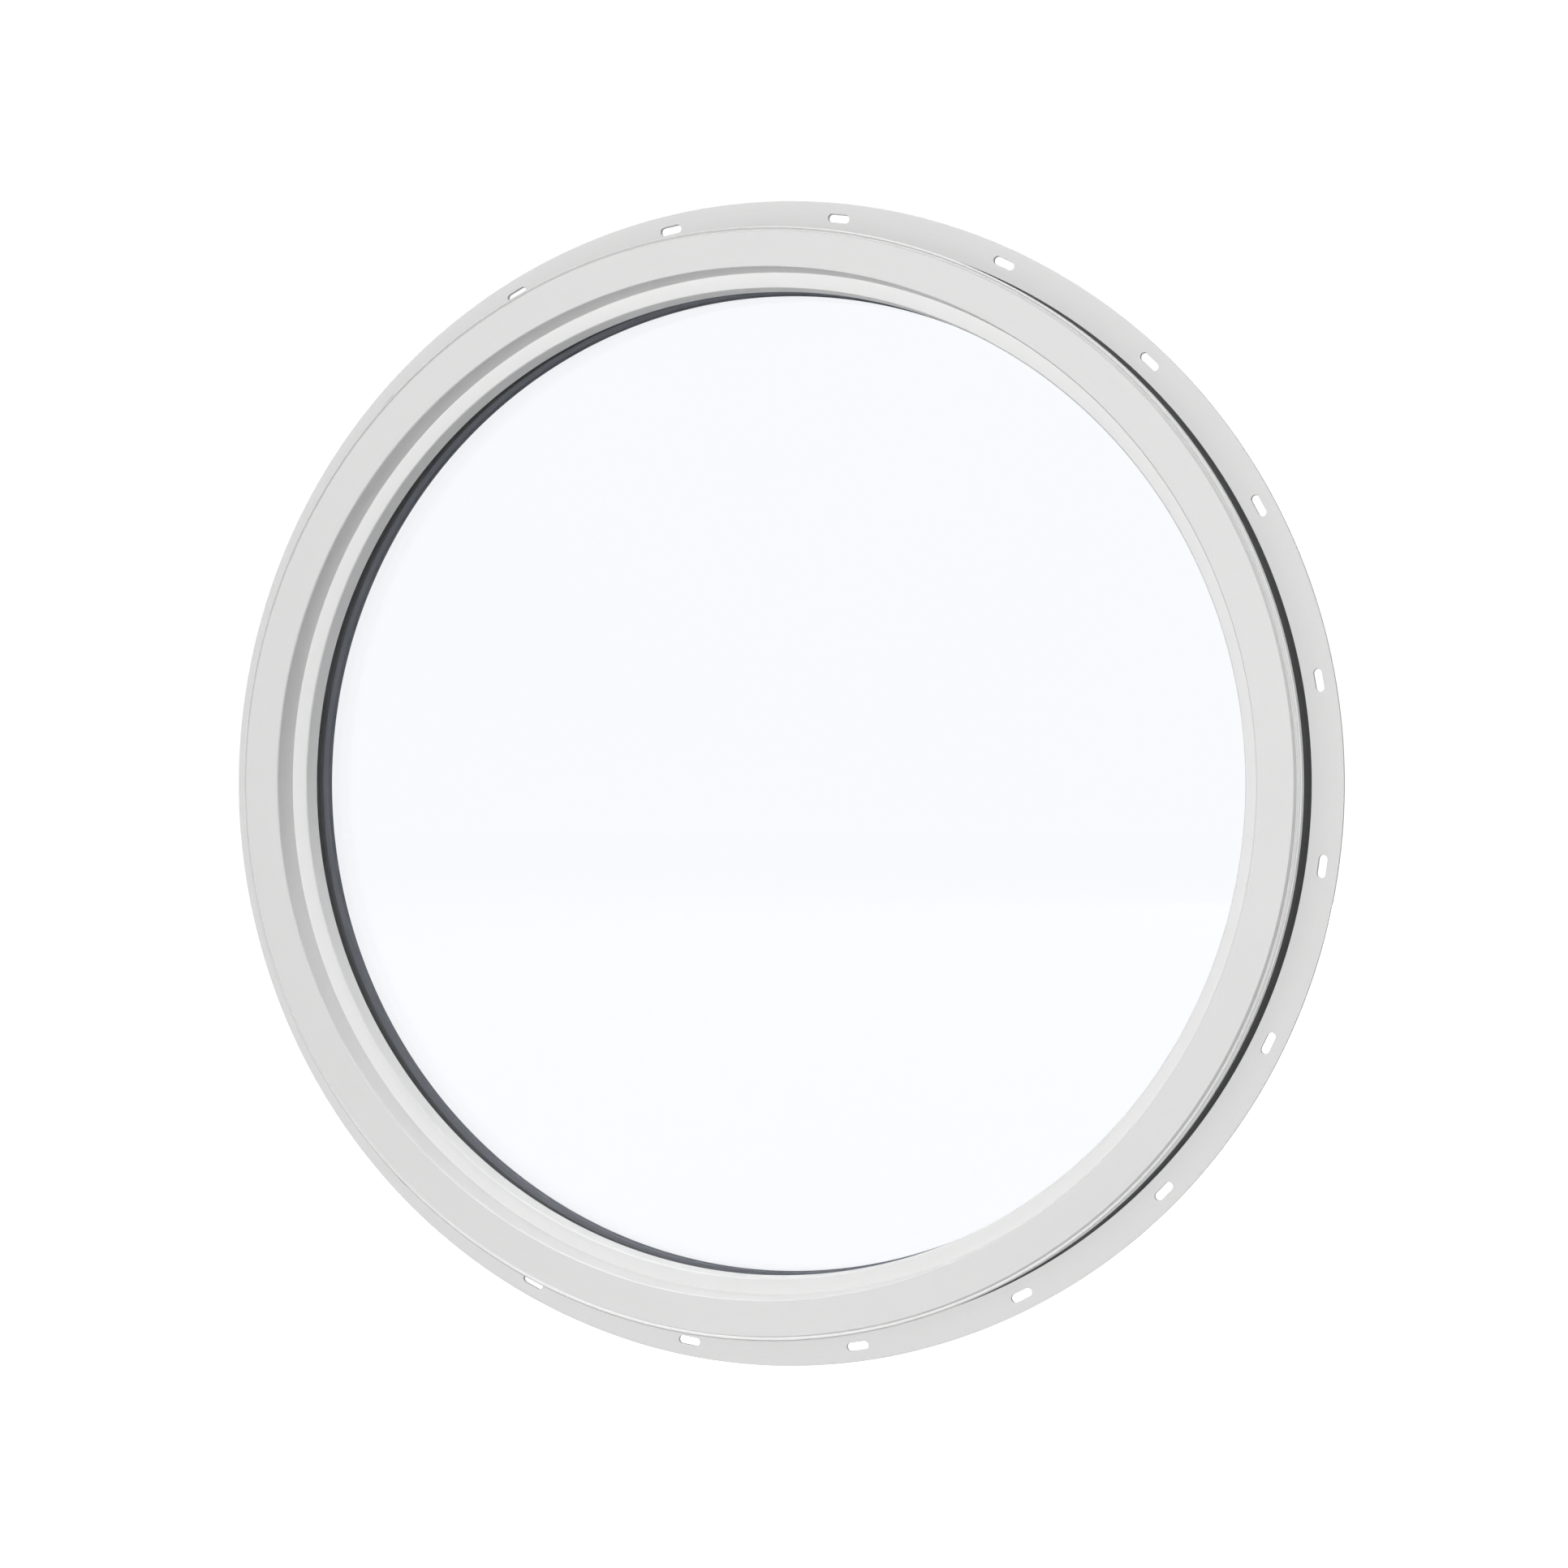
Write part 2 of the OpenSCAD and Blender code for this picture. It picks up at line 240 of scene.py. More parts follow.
def skin_group():
    """The skin of moulded or extruded plastic: a fine orange peel, with a few duller handled places."""
    tree, nodes, links, inside, outside = new_group(
        "plastic skin",
        {"Peel per mm": 1.2, "Handling": 0.05},
        {"Height": "NodeSocketFloat", "Dullness": "NodeSocketFloat"},
    )
    place = nodes.new("ShaderNodeTexCoord")
    peel = nodes.new("ShaderNodeTexNoise")
    peel.inputs["Detail"].default_value = 2.0
    links.new(place.outputs["Object"], peel.inputs["Vector"])
    per_metre = math_node(nodes, links, "MULTIPLY", inside.outputs["Peel per mm"], 1000.0)
    links.new(per_metre, peel.inputs["Scale"])
    handled = nodes.new("ShaderNodeTexNoise")
    handled.inputs["Scale"].default_value = 14.0
    handled.inputs["Detail"].default_value = 5.0
    handled.inputs["Roughness"].default_value = 0.6
    links.new(place.outputs["Object"], handled.inputs["Vector"])
    patches = nodes.new("ShaderNodeMapRange")
    patches.inputs["From Min"].default_value = 0.42
    patches.inputs["From Max"].default_value = 0.68
    links.new(handled.outputs["Fac"], patches.inputs["Value"])
    links.new(peel.outputs["Fac"], outside.inputs["Height"])
    links.new(
        math_node(nodes, links, "MULTIPLY", patches.outputs["Result"], inside.outputs["Handling"]),
        outside.inputs["Dullness"],
    )
    return tree


die_lines = draw_lines_group()
plastic_skin = skin_group()


def tone_between(nodes, links, factor, dark, light):
    """A colour that moves from dark to light with the factor."""
    tone = nodes.new("ShaderNodeMix")
    tone.data_type = "RGBA"
    tone.inputs[6].default_value = (*dark, 1)
    tone.inputs[7].default_value = (*light, 1)
    links.new(factor, tone.inputs[0])
    return tone.outputs[2]


def bumped(nodes, links, shader, height, distance, strength):
    """Feeds the shader's normal from a height, in metres of relief."""
    bump = nodes.new("ShaderNodeBump")
    bump.inputs["Strength"].default_value = strength
    bump.inputs["Distance"].default_value = distance
    links.new(height, bump.inputs["Height"])
    links.new(bump.outputs["Normal"], shader.inputs["Normal"])


def extruded_plastic(name, dark, light, roughness, lines_per_mm=1.6, relief=0.00002, gloss=0.5):
    """Extruded plastic or rubber: die lines round the ring over a fine skin."""
    skin_share = 0.35
    sheen_swing = 0.12
    material, nodes, links, shader = new_material(name)
    lines = placed_group(nodes, die_lines, Lines_per_mm=lines_per_mm)
    skin = placed_group(nodes, plastic_skin)
    height = math_node(
        nodes, links, "ADD", lines.outputs["Height"],
        math_node(nodes, links, "MULTIPLY", skin.outputs["Height"], skin_share),
    )
    bumped(nodes, links, shader, height, distance=relief, strength=0.5)
    links.new(tone_between(nodes, links, lines.outputs["Height"], dark, light), shader.inputs["Base Color"])
    dulled = math_node(nodes, links, "ADD", skin.outputs["Dullness"], roughness)
    sheen = math_node(nodes, links, "MULTIPLY", lines.outputs["Sheen change"], sheen_swing)
    links.new(math_node(nodes, links, "ADD", dulled, sheen), shader.inputs["Roughness"])
    shader.inputs["Specular IOR Level"].default_value = gloss
    return material


white_vinyl = extruded_plastic(
    "white vinyl", (0.725, 0.725, 0.722), (0.755, 0.755, 0.752), roughness=0.42,
)

fine = 0.0002
face_edge_r = nose_r - moulding_w
notch_r = face_edge_r + notch_place * moulding_w
strip_r = nose_r - strip_t
strip_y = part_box("fin_gasket")[0].y
frame_section = rounded([
    (face_in_r, face_y + face_chamfer, fine),
    (face_in_r + face_chamfer, face_y, fine),
    (face_edge_r, face_y, fine / 2),
    (notch_r, face_y + notch_drop, fine / 2),
    (nose_r - rim_edge, face_y + rim_drop, fine),
    (nose_r, face_y + rim_drop + rim_edge, fine),
    (nose_r, face_y + 2 * rim_drop, fine),
    (nose_r - groove_depth, face_y + 2 * rim_drop + groove_side, fine),
    (nose_r - groove_depth, face_y + 2 * rim_drop + groove_side / 2 + groove_w, fine),
    (nose_r, face_y + 2 * rim_drop + groove_side + groove_w, fine),
    (nose_r, strip_y, fine),
    (strip_r, strip_y, 0),
    (strip_r, fin_front_y, 0),
    (tail_r - kerf_depth, fin_front_y, 0),
    (tail_r - kerf_depth, fin_back_y - tongue_relief, 0),
    (tail_r - tail_chamfer, fin_back_y - tongue_relief, 0),
    (tail_r, fin_back_y - tongue_relief + tail_chamfer, fine),
    (tail_r, back_y - face_chamfer, fine),
    (tail_r - face_chamfer, back_y, fine),
    (pocket_r + face_chamfer, back_y, fine),
    (pocket_r, back_y - face_chamfer, fine),
    (pocket_r, stop_back_y, 0),
    (stop_r - wall_draft / 2, stop_back_y, fine),
    (stop_r, stop_face_y + face_chamfer, fine),
    (stop_r + face_chamfer, stop_face_y, fine),
    (face_in_r - wall_draft, stop_face_y, fine),
])
frame_ring = turned_ring("frame_ring", frame_section)
frame_ring.data.materials.append(white_vinyl)
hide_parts("frame")


# ---------------------------------------------------------------------------------------------
# Sealing strip. Soft black rubber bonded round the nose in its own rebate, ahead of the fin. Its
# lip swells towards the fin, where the cladding is pushed against it.
# ---------------------------------------------------------------------------------------------
strip_outer_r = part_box("fin_gasket")[1].x
strip_lip = 0.0008
seat_gap = 0.0001
belly_place = 0.55
belly_inset = 0.0002
belly_rounding = 0.004
flare_rounding = 0.003

strip_rubber = extruded_plastic(
    "black sealing rubber", (0.018, 0.019, 0.020), (0.030, 0.031, 0.033),
    roughness=0.6, lines_per_mm=0.9, relief=0.00006, gloss=0.2,
)
strip_section = rounded([
    (strip_r + seat_gap, strip_y + seat_gap, 0),
    (nose_r - strip_lip, strip_y + seat_gap, fine),
    (nose_r, strip_y + strip_lip, fine),
    (nose_r + seat_gap, strip_y + belly_place * (fin_front_y - strip_y), belly_rounding),
    (strip_outer_r - belly_inset, fin_front_y - 2 * strip_lip, flare_rounding),
    (strip_outer_r, fin_front_y, fine),
    (strip_r + seat_gap, fin_front_y, 0),
])
sealing_strip = turned_ring("sealing_strip", strip_section)
sealing_strip.data.materials.append(strip_rubber)
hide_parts("fin_gasket")


# ---------------------------------------------------------------------------------------------
# Nail fin. A flexible strip of white vinyl whose tongue snaps into a kerf behind the nose. It
# lies flat on the wall, and nails go through its ring of rounded slots.
# ---------------------------------------------------------------------------------------------
slot_count = 20
slot_l = 0.0124
slot_w = 0.0045
slot_inset = 0.0085
first_slot_clock = 8.0
fin_edge_rounding = 0.00025
tongue_barb = 0.0006

fin_vinyl = extruded_plastic(
    "flexible white vinyl", (0.725, 0.725, 0.722), (0.755, 0.755, 0.752),
    roughness=0.5, lines_per_mm=1.1,
)


def add_loop(curve, points):
    """A closed outline of straight stretches on a flat curve."""
    spline = curve.splines.new("POLY")
    spline.points.add(len(points) - 1)
    for spot, (x, z) in zip(spline.points, points):
        spot.co = (x, z, 0, 1)
    spline.use_cyclic_u = True


def circle_points(radius, steps):
    """Points of a circle about the origin."""
    turns = [2 * math.pi * i / steps for i in range(steps)]
    return [(radius * math.cos(turn), radius * math.sin(turn)) for turn in turns]


def slot_points(clock, steps=12):
    """The outline of one rounded slot, its long way round the ring."""
    outline = []
    for side in (1, -1):
        for i in range(steps + 1):
            turn = side * math.pi / 2 - math.pi * i / steps
            along = side * (slot_l - slot_w) / 2 + slot_w / 2 * math.cos(turn)
            outline.append((along, fin_r - slot_inset + slot_w / 2 * math.sin(turn)))
    swing = Matrix.Rotation(-math.radians(clock), 2)
    return [tuple(swing @ Vector(point)) for point in outline]


fin_curve = bpy.data.curves.new("fin outline", "CURVE")
fin_curve.dimensions = "2D"
fin_curve.fill_mode = "BOTH"
fin_curve.bevel_depth = fin_edge_rounding
fin_curve.bevel_resolution = 2
fin_curve.offset = -fin_edge_rounding
fin_curve.extrude = (fin_back_y - fin_front_y) / 2 - fin_edge_rounding
add_loop(fin_curve, circle_points(fin_r, 720))
add_loop(fin_curve, circle_points(tail_r - kerf_depth + tongue_barb, 360))
for i in range(slot_count):
    add_loop(fin_curve, slot_points(first_slot_clock + i * 360 / slot_count))
outline_object = bpy.data.objects.new("fin outline", fin_curve)
fin_mesh = bpy.data.meshes.new_from_object(outline_object)
bpy.data.objects.remove(outline_object)
fin_mesh.name = "nail_fin_strip"
fin_middle = Matrix.Translation((0, (fin_front_y + fin_back_y) / 2, 0))
fin_mesh.transform(fin_middle @ Matrix.Rotation(math.radians(90), 4, "X"))
nail_fin_strip = finished_piece("nail_fin_strip", fin_mesh)
nail_fin_strip.data.materials.append(fin_vinyl)
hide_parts("nail_fin")


# ---------------------------------------------------------------------------------------------
# Outdoor glazing gasket. Black rubber pushed into a groove in the back of the glazing stop. The
# glass is pressed against its flat face, and only its inner edge shows.
# ---------------------------------------------------------------------------------------------
glass_front_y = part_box("outer_pane")[0].y
front_gasket_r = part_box("outer_glazing_gasket")[1].x
front_lip = 0.0005
front_lip_set = 0.0006

gasket_rubber = extruded_plastic(
    "black glazing rubber", (0.024, 0.025, 0.027), (0.036, 0.037, 0.040),
    roughness=0.55, lines_per_mm=1.4, relief=0.00004, gloss=0.2,
)
front_gasket_section = rounded([
    (stop_r + front_lip, stop_back_y, 0),
    (front_gasket_r, stop_back_y, 0),
    (front_gasket_r, glass_front_y, 0),
    (stop_r + 2 * front_lip, glass_front_y, fine),
    (stop_r + front_lip_set, glass_front_y - front_lip, fine),
])
front_gasket = turned_ring("front_gasket", front_gasket_section)
front_gasket.data.materials.append(gasket_rubber)
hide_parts("outer_glazing_gasket")


# ---------------------------------------------------------------------------------------------
# Setting blocks and location blocks. Hard plastic packers that carry the glass at the bottom and
# centre it at the top and sides. They stand between the glass edge and the frame's pocket.
# ---------------------------------------------------------------------------------------------
def moulded_plastic(name, dark, light, roughness, peel_per_mm=0.8):
    """Moulded plastic: an even colour with a fine skin and faint flow marks."""
    material, nodes, links, shader = new_material(name)
    skin = placed_group(nodes, plastic_skin, Peel_per_mm=peel_per_mm, Handling=0.1)
    bumped(nodes, links, shader, skin.outputs["Height"], distance=0.00005, strength=0.4)
    links.new(tone_between(nodes, links, skin.outputs["Height"], dark, light), shader.inputs["Base Color"])
    dulled = math_node(nodes, links, "ADD", skin.outputs["Dullness"], roughness)
    links.new(dulled, shader.inputs["Roughness"])
    return material


def finish_cad_node(node, material):
    """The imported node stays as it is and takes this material."""
    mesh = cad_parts[node].data
    mesh.materials.clear()
    mesh.materials.append(material)


finish_cad_node(
    "setting_blocks",
    moulded_plastic("hard black plastic", (0.030, 0.030, 0.031), (0.048, 0.048, 0.050), roughness=0.5),
)
finish_cad_node(
    "location_blocks",
    moulded_plastic("grey plastic", (0.180, 0.184, 0.190), (0.225, 0.230, 0.236), roughness=0.55),
)


# ---------------------------------------------------------------------------------------------
# Spacer bar. A hollow black warm-edge bar, bent to a ring, that holds the two panes apart. Its
# face towards the cavity has a row of fine holes, through which the drying beads breathe.
# ---------------------------------------------------------------------------------------------
spacer_low, spacer_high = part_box("spacer_bar")
spacer_outer_r = spacer_high.x
spacer_h = 0.0063
spacer_r = spacer_outer_r - spacer_h
spacer_corner = 0.0006
hole_spacing = 0.0025
hole_row_w = 0.0009


def breathing_holes_group():
    """A mask of small holes in one row round a ring, at a given depth along its axis."""
    tree, nodes, links, inside, outside = new_group(
        "breathing holes",
        {"Row depth": 0.0, "Row width": 0.001, "Holes": 600.0},
        {"Mask": "NodeSocketFloat"},
    )
    place = nodes.new("ShaderNodeTexCoord")
    split = nodes.new("ShaderNodeSeparateXYZ")
    links.new(place.outputs["Object"], split.inputs[0])
    turn = math_node(nodes, links, "ARCTAN2", split.outputs["X"], split.outputs["Z"])
    turn = math_node(nodes, links, "DIVIDE", turn, 2 * math.pi)
    beat = math_node(nodes, links, "MULTIPLY", turn, inside.outputs["Holes"])
    beat = math_node(nodes, links, "FRACT", beat)
    along = math_node(nodes, links, "ABSOLUTE", math_node(nodes, links, "SUBTRACT", beat, 0.5))
    along = math_node(nodes, links, "LESS_THAN", along, 0.2)
    away = math_node(nodes, links, "SUBTRACT", split.outputs["Y"], inside.outputs["Row depth"])
    away = math_node(nodes, links, "MULTIPLY", math_node(nodes, links, "ABSOLUTE", away), 2.0)
    inside_row = math_node(nodes, links, "LESS_THAN", away, inside.outputs["Row width"])
    links.new(math_node(nodes, links, "MULTIPLY", along, inside_row), outside.inputs["Mask"])
    return tree


spacer_finish, nodes, links, shader = new_material("black spacer")
lines = placed_group(nodes, die_lines, Lines_per_mm=2.2)
holes = placed_group(
    nodes, breathing_holes_group(),
    Row_depth=(spacer_low.y + spacer_high.y) / 2,
    Row_width=hole_row_w,
    Holes=round(2 * math.pi * spacer_r / hole_spacing),
)
bar_tone = tone_between(
    nodes, links, lines.outputs["Height"], (0.008, 0.008, 0.009), (0.014, 0.014, 0.015),
)
# The holes are real, but their near-black colour is painted shade: the dark inside each hole is painted over
# the bar's own colour.
hole_shade = nodes.new("ShaderNodeMix")
hole_shade.data_type = "RGBA"
hole_shade.inputs[7].default_value = (0.004, 0.004, 0.004, 1)
links.new(bar_tone, hole_shade.inputs[6])
links.new(holes.outputs["Mask"], hole_shade.inputs[0])
links.new(hole_shade.outputs[2], shader.inputs["Base Color"])
bar_height = math_node(nodes, links, "SUBTRACT", lines.outputs["Height"], holes.outputs["Mask"])
bumped(nodes, links, shader, bar_height, distance=0.00005, strength=0.5)
links.new(math_node(nodes, links, "ADD", lines.outputs["Sheen change"], 0.55), shader.inputs["Roughness"])
shader.inputs["Specular IOR Level"].default_value = 0.05

spacer_section = rounded([
    (spacer_r, spacer_low.y, spacer_corner),
    (spacer_outer_r, spacer_low.y, spacer_corner),
    (spacer_outer_r, spacer_high.y, spacer_corner),
    (spacer_r, spacer_high.y, spacer_corner),
])
spacer = turned_ring("spacer", spacer_section)
spacer.data.materials.append(spacer_finish)
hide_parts("spacer_bar")


# ---------------------------------------------------------------------------------------------
# Drying beads and spacer key. Both are shut inside the bar: molecular-sieve beads that fill it,
# and the nylon key pushed into its two ends where they meet at the top.
# ---------------------------------------------------------------------------------------------
bead_size = 0.0011
drying_beads, nodes, links, shader = new_material("molecular sieve beads")
place = nodes.new("ShaderNodeTexCoord")
cells = nodes.new("ShaderNodeTexVoronoi")
cells.inputs["Scale"].default_value = 1 / bead_size
links.new(place.outputs["Object"], cells.inputs["Vector"])
roundness = math_node(nodes, links, "SUBTRACT", 1.0, cells.outputs["Distance"])
# Each bead is painted lighter at its middle and darker towards its rim, where it meets the next: painted
# shade that rounds the beads.
bead_tone_painted_shade = tone_between(nodes, links, roundness, (0.32, 0.26, 0.19), (0.60, 0.51, 0.40))
links.new(bead_tone_painted_shade, shader.inputs["Base Color"])
bumped(nodes, links, shader, roundness, distance=bead_size / 2, strength=1.0)
shader.inputs["Roughness"].default_value = 0.85
finish_cad_node("desiccant", drying_beads)
finish_cad_node(
    "spacer_key",
    moulded_plastic("grey nylon", (0.200, 0.200, 0.205), (0.250, 0.250, 0.256), roughness=0.45),
)


# ---------------------------------------------------------------------------------------------
# Butyl seals and edge seal. Tacky black butyl bonds each side of the bar to its pane and keeps
# the damp out; a polysulphide sealant is then run round the outside and holds the unit together.
# ---------------------------------------------------------------------------------------------
def soft_sealant(name, dark, light, roughness):
    """Gunned sealant: dark, slightly wavy where it was pressed or tooled."""
    material, nodes, links, shader = new_material(name)
    place = nodes.new("ShaderNodeTexCoord")
    waves = nodes.new("ShaderNodeTexNoise")
    waves.inputs["Scale"].default_value = 260.0
    waves.inputs["Detail"].default_value = 3.0
    links.new(place.outputs["Object"], waves.inputs["Vector"])
    links.new(tone_between(nodes, links, waves.outputs["Fac"], dark, light), shader.inputs["Base Color"])
    bumped(nodes, links, shader, waves.outputs["Fac"], distance=0.0002, strength=0.5)
    shader.inputs["Roughness"].default_value = roughness
    return material


butyl = soft_sealant("black butyl", (0.012, 0.012, 0.013), (0.022, 0.022, 0.024), roughness=0.38)
butyl_set = 0.0006
for name, node in (("outer_butyl", "outer_butyl_seal"), ("inner_butyl", "inner_butyl_seal")):
    low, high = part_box(node)
    seal = turned_ring(name, rounded([
        (spacer_r + butyl_set, low.y, 0),
        (high.x, low.y, 0),
        (high.x, high.y, 0),
        (spacer_r + butyl_set, high.y, 0),
    ]))
    seal.data.materials.append(butyl)
    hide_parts(node)

sealant_corner = 0.0005
edge_low, edge_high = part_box("edge_seal")
edge_sealant = turned_ring("edge_sealant", rounded([
    (spacer_outer_r + seat_gap, edge_low.y, 0),
    (edge_high.x, edge_low.y, sealant_corner),
    (edge_high.x, edge_high.y, sealant_corner),
    (spacer_outer_r + seat_gap, edge_high.y, 0),
]))
edge_sealant.data.materials.append(
    soft_sealant("black edge sealant", (0.020, 0.020, 0.021), (0.034, 0.034, 0.036), roughness=0.6)
)
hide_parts("edge_seal")


# ---------------------------------------------------------------------------------------------
# Panes. Two discs of clear float glass with ground edges. They shut in dry air, and are so clear
# that only their faint blue tint and the reflections on them show.
# ---------------------------------------------------------------------------------------------
arris = 0.0004


def surface_socket(nodes):
    """The socket of the material's output that takes its shader."""
    return next(node for node in nodes if node.type == "OUTPUT_MATERIAL").inputs["Surface"]


def clear_glass():
    """Clear float glass with a faint film of wipe marks; lamps shine straight through it."""
    material, nodes, links, shader = new_material("clear float glass")
    place = nodes.new("ShaderNodeTexCoord")
    film = nodes.new("ShaderNodeTexNoise")
    film.inputs["Scale"].default_value = 4.0
    film.inputs["Detail"].default_value = 2.0
    links.new(place.outputs["Object"], film.inputs["Vector"])
    tint = tone_between(nodes, links, film.outputs["Fac"], (0.976, 0.986, 1.0), (0.984, 0.990, 1.0))
    links.new(tint, shader.inputs["Base Color"])
    shader.inputs["Roughness"].default_value = 0.0
    shader.inputs["IOR"].default_value = 1.5
    shader.inputs["Specular IOR Level"].default_value = 0.3
    shader.inputs["Transmission Weight"].default_value = 1.0
    through = nodes.new("ShaderNodeBsdfTransparent")
    rays = nodes.new("ShaderNodeLightPath")
    mixed = nodes.new("ShaderNodeMixShader")
    links.new(rays.outputs["Is Shadow Ray"], mixed.inputs[0])
    links.new(shader.outputs["BSDF"], mixed.inputs[1])
    links.new(through.outputs[0], mixed.inputs[2])
    links.new(mixed.outputs[0], surface_socket(nodes))
    return material


def glass_disc(name, radius, front_y, back_y, steps=480):
    """A flat disc with a small ground arris on both edges."""
    mesh = bpy.data.meshes.new(name)
    built = bmesh.new()
    section = [
        (radius - arris, front_y), (radius, front_y + arris),
        (radius, back_y - arris), (radius - arris, back_y),
    ]
    rings = []
    for r, y in section:
        turns = [2 * math.pi * i / steps for i in range(steps)]
        rings.append([built.verts.new((r * math.sin(t), y, r * math.cos(t))) for t in turns])
    for near, far in zip(rings, rings[1:]):
        for i in range(steps):
            j = (i + 1) % steps
            built.faces.new((near[i], near[j], far[j], far[i]))
    built.faces.new(rings[0])
    built.faces.new(rings[-1])
    bmesh.ops.recalc_face_normals(built, faces=built.faces)
    built.to_mesh(mesh)
    built.free()
    return finished_piece(name, mesh, sharp_angle=25)


glass = clear_glass()
for name, node in (("outdoor_pane", "outer_pane"), ("room_pane", "inner_pane")):
    low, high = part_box(node)
    pane = glass_disc(name, high.x, low.y, high.y)
    pane.data.materials.append(glass)
    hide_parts(node)


# ---------------------------------------------------------------------------------------------
# Room-side glazing gasket. A thicker wedge of dark blue-grey rubber, pushed in between the glass
# and the bead, so that it shows through the glass as a grey rim.
# ---------------------------------------------------------------------------------------------
gasket_low, gasket_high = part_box("inner_glazing_gasket")
wedge_lip = 0.0007
wedge_rubber = extruded_plastic(
    "blue-grey glazing rubber", (0.039, 0.043, 0.052), (0.053, 0.058, 0.070),
    roughness=0.6, lines_per_mm=1.2, relief=0.00004, gloss=0.2,
)
wedge_gasket = turned_ring("wedge_gasket", rounded([
    (stop_r + wedge_lip, gasket_low.y, fine),
    (gasket_high.x, gasket_low.y, 0),
    (gasket_high.x, gasket_high.y, 0),
    (stop_r, gasket_high.y, fine),
    (stop_r, gasket_low.y + 2 * wedge_lip, fine),
]))
wedge_gasket.data.materials.append(wedge_rubber)
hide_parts("inner_glazing_gasket")


# ---------------------------------------------------------------------------------------------
# Glazing bead. A hollow bevelled strip of white vinyl, bent and snapped into the frame from the
# room side. It holds the glass in, and its two ends meet in a fine butt joint at the bottom.
# ---------------------------------------------------------------------------------------------
bead_low, bead_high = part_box("glazing_bead")
bead_base_t = 0.0024
bead_edge_inset = 0.002
bead_top_w = 0.0021
bead_top_rounding = 0.0008
bead_nose_rounding = 0.0006
foot_w = 0.0034
butt_gap = 0.0002
bead_back_r = pocket_r - seat_gap
butt_angle = math.degrees(butt_gap / stop_r)
foot_y = (bead_low.y + bead_high.y) / 2 + foot_w

bead_section = rounded([
    (stop_r + bead_edge_inset, bead_low.y, fine),
    (bead_back_r, bead_low.y, 0),
    (bead_back_r, foot_y, 0),
    (bead_high.x, foot_y, 0),
    (bead_high.x, foot_y + foot_w / 2, 0),
    (bead_back_r, foot_y + foot_w, 0),
    (bead_back_r, bead_high.y, fine),
    (bead_back_r - bead_top_w, bead_high.y, bead_top_rounding),
    (stop_r + bead_edge_inset, bead_low.y + bead_base_t, bead_nose_rounding),
])
glazing_bead = turned_ring(
    "glazing_bead_ring", bead_section, clock=180 + butt_angle / 2, sweep=360 - butt_angle,
)
glazing_bead.data.materials.append(white_vinyl)
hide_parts("glazing_bead")


# ---------------------------------------------------------------------------------------------
# Studio. A plain pale floor under the fin, a white surround, and soft lamps: high in front, level
# in front, overhead for highlights only, behind, and at each side. Only the side lamps cast shadows.
# Floor and surround look whiter than the light that they give the window.
# ---------------------------------------------------------------------------------------------
floor_size = 40.0
floor_gap = 0.0005
floor_lift = 1.05
white_through_glass = 1.02


def seen_from_here(nodes):
    """Masks for what is looked at directly, and for what is looked at through the panes."""
    rays = nodes.new("ShaderNodeLightPath")
    return rays.outputs["Is Camera Ray"], rays.outputs["Is Transmission Ray"]


floor_mesh = bpy.data.meshes.new("studio_floor")
half = floor_size / 2
floor_z = fin_low.z - floor_gap
floor_mesh.from_pydata(
    [(-half, -half, floor_z), (half, -half, floor_z), (half, half, floor_z), (-half, half, floor_z)],
    [], [(0, 1, 2, 3)],
)
floor = bpy.data.objects.new("studio_floor", floor_mesh)
bpy.context.scene.collection.objects.link(floor)

floor_paint, nodes, links, shader = new_material("pale floor paint")
shader.inputs["Base Color"].default_value = (0.55, 0.55, 0.55, 1)
shader.inputs["Roughness"].default_value = 0.9
shader.inputs["Specular IOR Level"].default_value = 0.1
shader.inputs["Emission Color"].default_value = (1, 1, 1, 1)
looked_at, through_glass = seen_from_here(nodes)
links.new(math_node(nodes, links, "MULTIPLY", looked_at, floor_lift), shader.inputs["Emission Strength"])
glow = nodes.new("ShaderNodeEmission")
glow.inputs["Strength"].default_value = white_through_glass
floor_mix = nodes.new("ShaderNodeMixShader")
links.new(through_glass, floor_mix.inputs[0])
links.new(shader.outputs[0], floor_mix.inputs[1])
links.new(glow.outputs[0], floor_mix.inputs[2])
links.new(floor_mix.outputs[0], surface_socket(nodes))
floor.data.materials.append(floor_paint)

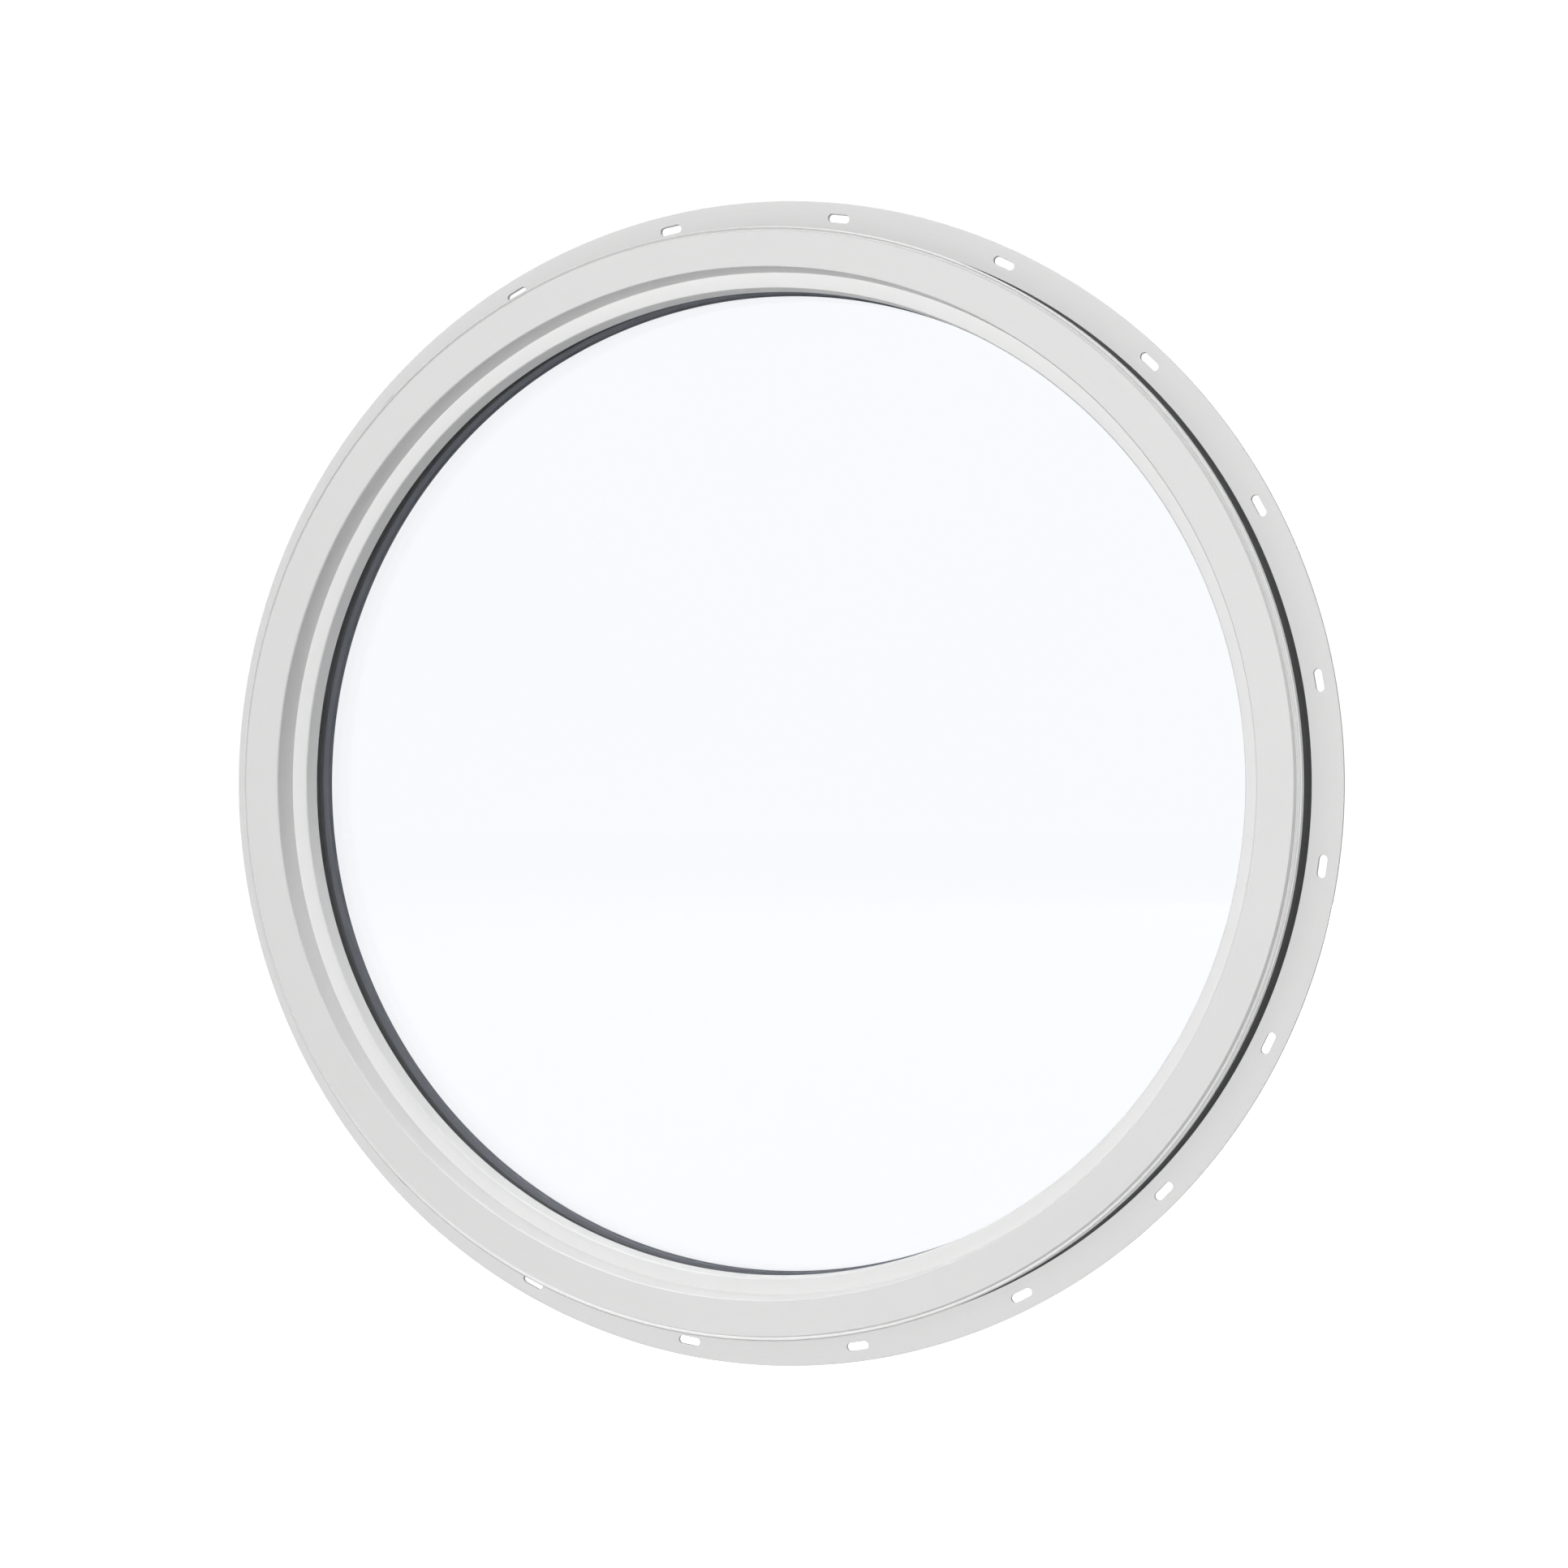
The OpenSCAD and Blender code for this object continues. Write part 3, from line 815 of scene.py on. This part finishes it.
surround_light = 0.13
surround_seen = 1.05
world = bpy.data.worlds.new("white surround")
world.use_nodes = True
bpy.context.scene.world = world
nodes = world.node_tree.nodes
links = world.node_tree.links
backdrop = nodes["Background"]
looked_at, through_glass = seen_from_here(nodes)
extra_seen = math_node(nodes, links, "MULTIPLY", looked_at, surround_seen - surround_light)
extra_through = math_node(nodes, links, "MULTIPLY", through_glass, white_through_glass - surround_light)
strength = math_node(nodes, links, "ADD", extra_seen, extra_through)
links.new(math_node(nodes, links, "ADD", strength, surround_light), backdrop.inputs["Strength"])
backdrop.inputs["Color"].default_value = (1, 1, 1, 1)


def soft_lamp(name, place, target, width, height, power):
    """A large rectangular lamp aimed at a point, hidden from the camera, with its shadows off."""
    data = bpy.data.lights.new(name, "AREA")
    data.shape = "RECTANGLE"
    data.size = width
    data.size_y = height
    data.energy = power
    lamp = bpy.data.objects.new(name, data)
    bpy.context.scene.collection.objects.link(lamp)
    lamp.location = place
    lamp.rotation_euler = (Vector(target) - Vector(place)).to_track_quat("-Z", "Y").to_euler()
    lamp.visible_camera = False
    data.use_shadow = False
    return lamp


window_middle = (0, 0, 0)
soft_lamp("key lamp", (0.0, -5.66, 5.66), window_middle, width=2.0, height=2.0, power=405)
soft_lamp("front lamp", (0.0, -8.0, 0.0), window_middle, width=2.0, height=2.0, power=160)
edge_lamp = soft_lamp("edge lamp", (0.0, -0.8, 7.9), window_middle, width=4.0, height=2.0, power=260)
edge_lamp.visible_diffuse = False
rear_lamp = soft_lamp("rear lamp", (0.0, 8.0, 0.0), window_middle, width=2.0, height=2.0, power=230)
rear_lamp.visible_glossy = False
rear_lamp.visible_transmission = False
for side in (-1, 1):
    side_lamp = soft_lamp(
        "side lamp", (side * 7.0, 0.6, 0.0), window_middle, width=1.0, height=2.0, power=160,
    )
    side_lamp.data.use_shadow = True
    side_lamp.visible_transmission = False


# ---------------------------------------------------------------------------------------------
# Camera. It looks level at the window's front from a little to its right.
# ---------------------------------------------------------------------------------------------
camera_data = bpy.data.cameras.new("camera")
camera_data.lens = 83.49
camera_data.sensor_width = 36.0
camera_turn = math.radians(18.3166)
camera = bpy.data.objects.new("camera", camera_data)
bpy.context.scene.collection.objects.link(camera)
camera.location = (0.64522, -1.91578, -0.00023)
camera.rotation_euler = (math.radians(90), 0, camera_turn)
bpy.context.scene.camera = camera
bpy.context.scene.view_settings.view_transform = "Standard"
